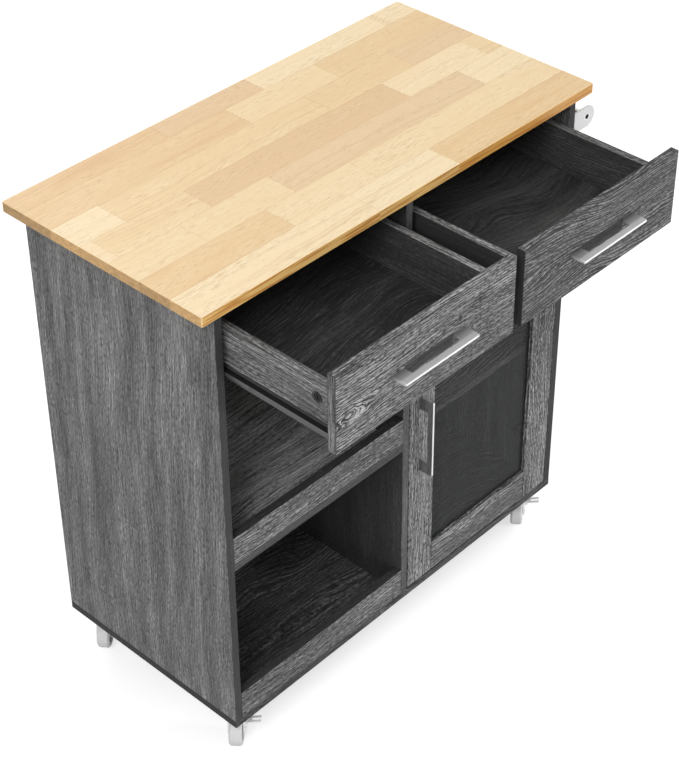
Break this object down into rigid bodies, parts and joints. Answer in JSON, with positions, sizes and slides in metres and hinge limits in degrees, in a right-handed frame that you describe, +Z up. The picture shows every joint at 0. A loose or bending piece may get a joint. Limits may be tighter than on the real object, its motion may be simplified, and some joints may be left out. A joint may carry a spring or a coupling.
{
  "type": "kitchen cart",
  "caption": "Wheeled kitchen cart with a wooden worktop, pull-out drawers, open shelves, a glazed cabinet door and a side towel bar.",
  "frame": {"origin": "floor level, under the middle of the box round the cart as it stands with both drawers pulled out", "axes": "+X to the right along the front, +Y towards the back, +Z up"},
  "size_m": [0.923, 0.678, 0.946],
  "materials": {
    "rubberwood": "oiled finger-jointed rubberwood, satin",
    "grey_laminate": "embossed grey wood-grain laminate on board, matte",
    "back_board": "thin grey laminated hardboard, matte",
    "satin_nickel": "brushed satin nickel plate",
    "bright_steel": "bright plated steel",
    "zinc_steel": "bright zinc plate",
    "nickel_steel": "nickel-plated pressed steel",
    "coated_steel": "black lacquered pressed steel, satin",
    "nylon": "moulded nylon",
    "smoked_glass": "smoked float glass",
    "black_plastic": "extruded black plastic bead",
    "grey_rubber": "moulded non-marking grey rubber",
    "grey_plastic": "moulded grey plastic"
  },
  "bodies": {
    "carcass": {"worktop": "rubberwood", "side_panel_left": "grey_laminate", "side_panel_right": "grey_laminate", "base_panel": "grey_laminate", "centre_divider": "grey_laminate", "back_panel": "back_board", "middle_shelf": "grey_laminate", "middle_shelf_lip": "grey_laminate", "lower_shelf_lip": "grey_laminate", "top_rail_left": "grey_laminate", "top_rail_right": "grey_laminate", "cabinet_shelf": "grey_laminate", "shelf_pins": "zinc_steel", "towel_ear_front": "bright_steel", "towel_ear_rear": "bright_steel", "towel_bar": "bright_steel", "hinge_plates": "nickel_steel", "cabinet_runners": "coated_steel", "caster_plates": "zinc_steel", "wood_screws": "zinc_steel"},
    "left_drawer": {"left_drawer_front": "grey_laminate", "left_drawer_side_left": "grey_laminate", "left_drawer_side_right": "grey_laminate", "left_drawer_back": "grey_laminate", "left_drawer_bottom": "back_board", "left_drawer_pull": "satin_nickel", "left_drawer_fasteners": "zinc_steel", "left_drawer_runners": "coated_steel"},
    "right_drawer": {"right_drawer_front": "grey_laminate", "right_drawer_side_left": "grey_laminate", "right_drawer_side_right": "grey_laminate", "right_drawer_back": "grey_laminate", "right_drawer_bottom": "back_board", "right_drawer_pull": "satin_nickel", "right_drawer_fasteners": "zinc_steel", "right_drawer_runners": "coated_steel"},
    "left_drawer_rollers": {"left_drawer_rollers": "nylon"},
    "left_cabinet_rollers": {"left_cabinet_rollers": "nylon"},
    "right_drawer_rollers": {"right_drawer_rollers": "nylon"},
    "right_cabinet_rollers": {"right_cabinet_rollers": "nylon"},
    "door": {"door_stile_left": "grey_laminate", "door_stile_right": "grey_laminate", "door_rail_top": "grey_laminate", "door_rail_bottom": "grey_laminate", "door_glass": "smoked_glass", "door_glass_beads": "black_plastic", "door_pull": "satin_nickel", "door_hinge_cups": "nickel_steel", "door_fasteners": "zinc_steel"},
    "caster_fork_front_left": {"caster_fork_front_left": "zinc_steel"},
    "caster_wheel_front_left": {"caster_wheel_front_left": "grey_rubber"},
    "caster_fork_front_right": {"caster_fork_front_right": "zinc_steel"},
    "caster_wheel_front_right": {"caster_wheel_front_right": "grey_rubber"},
    "caster_fork_back_left": {"caster_fork_back_left": "zinc_steel"},
    "caster_wheel_back_left": {"caster_wheel_back_left": "grey_rubber"},
    "caster_fork_back_right": {"caster_fork_back_right": "zinc_steel"},
    "caster_wheel_back_right": {"caster_wheel_back_right": "grey_rubber"},
    "brake_lever_front_left": {"brake_lever_front_left": "grey_plastic"},
    "brake_lever_front_right": {"brake_lever_front_right": "grey_plastic"}
  },
  "joints": [
    {"name": "left_drawer_slide", "type": "slide", "parent": "carcass", "child": "left_drawer", "axis": [0, -1, 0], "range_m": [-0.22, 0.04]},
    {"name": "right_drawer_slide", "type": "slide", "parent": "carcass", "child": "right_drawer", "axis": [0, -1, 0], "range_m": [-0.22, 0.04]},
    {"name": "left_drawer_rollers_spin", "type": "hinge", "parent": "left_drawer", "child": "left_drawer_rollers", "pos_m": [-0.21675, 0.041, 0.8048], "axis": [1, 0, 0], "range_deg": [-1330, 245]},
    {"name": "left_cabinet_rollers_spin", "type": "hinge", "parent": "carcass", "child": "left_cabinet_rollers", "pos_m": [-0.21675, -0.061, 0.805], "axis": [1, 0, 0], "range_deg": [-1330, 245]},
    {"name": "right_drawer_rollers_spin", "type": "hinge", "parent": "right_drawer", "child": "right_drawer_rollers", "pos_m": [0.19375, 0.041, 0.8048], "axis": [1, 0, 0], "range_deg": [-1330, 245]},
    {"name": "right_cabinet_rollers_spin", "type": "hinge", "parent": "carcass", "child": "right_cabinet_rollers", "pos_m": [0.19375, -0.061, 0.805], "axis": [1, 0, 0], "range_deg": [-1330, 245]},
    {"name": "door_hinge", "type": "hinge", "parent": "carcass", "child": "door", "pos_m": [0.3895, -0.091, 0.434], "axis": [0, 0, 1], "range_deg": [0, 95]},
    {"name": "caster_swivel_front_left", "type": "hinge", "parent": "carcass", "child": "caster_fork_front_left", "pos_m": [-0.3875, -0.05, 0.07], "axis": [0, 0, 1], "continuous": true},
    {"name": "caster_spin_front_left", "type": "hinge", "parent": "caster_fork_front_left", "child": "caster_wheel_front_left", "pos_m": [-0.40168, -0.06108, 0.028], "axis": [0.6157, -0.788, 0], "continuous": true},
    {"name": "caster_swivel_front_right", "type": "hinge", "parent": "carcass", "child": "caster_fork_front_right", "pos_m": [0.3645, -0.05, 0.07], "axis": [0, 0, 1], "continuous": true},
    {"name": "caster_spin_front_right", "type": "hinge", "parent": "caster_fork_front_right", "child": "caster_wheel_front_right", "pos_m": [0.35032, -0.06108, 0.028], "axis": [0.6157, -0.788, 0], "continuous": true},
    {"name": "caster_swivel_back_left", "type": "hinge", "parent": "carcass", "child": "caster_fork_back_left", "pos_m": [-0.3875, 0.287, 0.07], "axis": [0, 0, 1], "continuous": true},
    {"name": "caster_spin_back_left", "type": "hinge", "parent": "caster_fork_back_left", "child": "caster_wheel_back_left", "pos_m": [-0.40168, 0.27592, 0.028], "axis": [0.6157, -0.788, 0], "continuous": true},
    {"name": "caster_swivel_back_right", "type": "hinge", "parent": "carcass", "child": "caster_fork_back_right", "pos_m": [0.3645, 0.287, 0.07], "axis": [0, 0, 1], "continuous": true},
    {"name": "caster_spin_back_right", "type": "hinge", "parent": "caster_fork_back_right", "child": "caster_wheel_back_right", "pos_m": [0.35032, 0.27592, 0.028], "axis": [0.6157, -0.788, 0], "continuous": true},
    {"name": "brake_press_front_left", "type": "hinge", "parent": "caster_fork_front_left", "child": "brake_lever_front_left", "pos_m": [-0.38618, -0.07118, 0.047], "axis": [0.788, 0.6157, 0], "range_deg": [0, 25]},
    {"name": "brake_press_front_right", "type": "hinge", "parent": "caster_fork_front_right", "child": "brake_lever_front_right", "pos_m": [0.36582, -0.07118, 0.047], "axis": [0.788, 0.6157, 0], "range_deg": [0, 25]}
  ],
  "couplings": [
    {"joint": "left_drawer_rollers_spin", "follows": "left_drawer_slide", "rad_per_m": 105.26},
    {"joint": "left_cabinet_rollers_spin", "follows": "left_drawer_slide", "rad_per_m": 105.26},
    {"joint": "right_drawer_rollers_spin", "follows": "right_drawer_slide", "rad_per_m": 105.26},
    {"joint": "right_cabinet_rollers_spin", "follows": "right_drawer_slide", "rad_per_m": 105.26}
  ]
}
